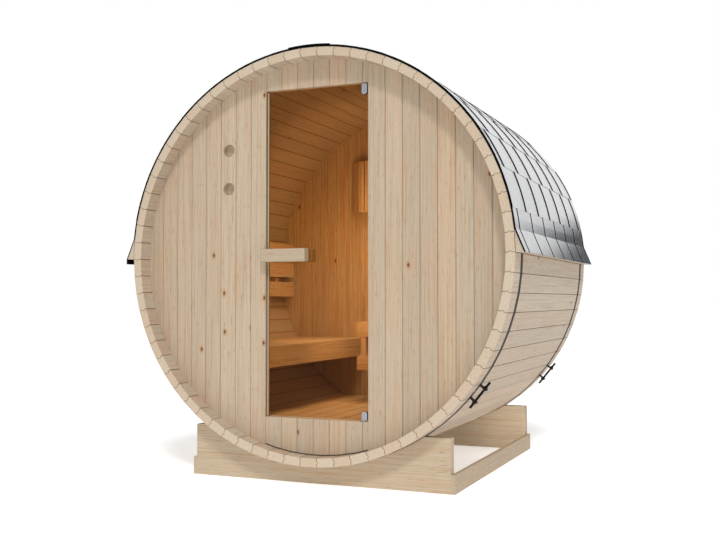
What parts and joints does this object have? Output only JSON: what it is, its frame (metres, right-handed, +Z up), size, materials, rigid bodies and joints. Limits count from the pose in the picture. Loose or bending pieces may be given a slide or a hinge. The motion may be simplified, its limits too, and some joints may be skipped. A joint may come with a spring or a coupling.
{
  "type": "barrel sauna",
  "caption": "Outdoor barrel sauna: coopered wooden barrel on cradles with steel bands, shingled upper half, boarded ends and a swinging glass door.",
  "frame": {"origin": "on the ground, under the middle of the barrel", "axes": "+Z up, -Y out through the door, +Y along the barrel to its back end, +X to the right as seen from the door"},
  "size_m": [1.9952, 1.608, 2.0038],
  "materials": {
    "stave_spruce": "planed, untreated",
    "wall_spruce": "planed, untreated",
    "stand_spruce": "planed, untreated",
    "inside_spruce": "planed, untreated",
    "handle_wood": "sanded",
    "bitumen_shingle": "mineral granules on bitumen",
    "band_steel": "dark, satin",
    "hinge_steel": "satin",
    "bronze_glass": "tinted, polished"
  },
  "bodies": {
    "barrel": {"staves_bottom": "stave_spruce", "staves_lower_right": "stave_spruce", "staves_right_low": "stave_spruce", "staves_right_high": "stave_spruce", "staves_upper_right": "stave_spruce", "staves_top": "stave_spruce", "staves_upper_left": "stave_spruce", "staves_left_high": "stave_spruce", "staves_left_low": "stave_spruce", "staves_lower_left": "stave_spruce", "front_wall_left": "wall_spruce", "front_wall_right": "wall_spruce", "front_wall_head": "wall_spruce", "front_wall_sill": "wall_spruce", "back_wall": "wall_spruce", "cradle_front": "stand_spruce", "cradle_rear": "stand_spruce", "side_rail_left": "stand_spruce", "side_rail_right": "stand_spruce", "eave_wedge_left": "stave_spruce", "eave_wedge_right": "stave_spruce", "shingles_left": "bitumen_shingle", "shingles_right": "bitumen_shingle", "ridge_cap": "bitumen_shingle", "band_front": "band_steel", "band_rear": "band_steel", "tension_screw_front": "band_steel", "tension_screw_rear": "band_steel", "pivot_plate_top": "hinge_steel", "pivot_plate_bottom": "hinge_steel", "floor_boards": "inside_spruce", "floor_bearers": "inside_spruce", "bench_seat": "inside_spruce", "bench_apron": "inside_spruce", "bench_ledgers": "inside_spruce", "backrest_slats": "inside_spruce", "backrest_battens": "inside_spruce", "lamp_ribs": "inside_spruce", "lamp_slats": "inside_spruce", "guard_front_rails": "inside_spruce", "guard_side_rails": "inside_spruce", "guard_slats": "inside_spruce"},
    "door": {"door_glass": "bronze_glass", "handle_outside": "handle_wood", "handle_inside": "handle_wood", "hinge_top": "hinge_steel", "hinge_bottom": "hinge_steel"}
  },
  "joints": [
    {"name": "door_swing", "type": "hinge", "parent": "barrel", "child": "door", "pos_m": [0.235, -0.71, 0], "axis": [0, 0, 1], "range_deg": [0, 105]}
  ]
}
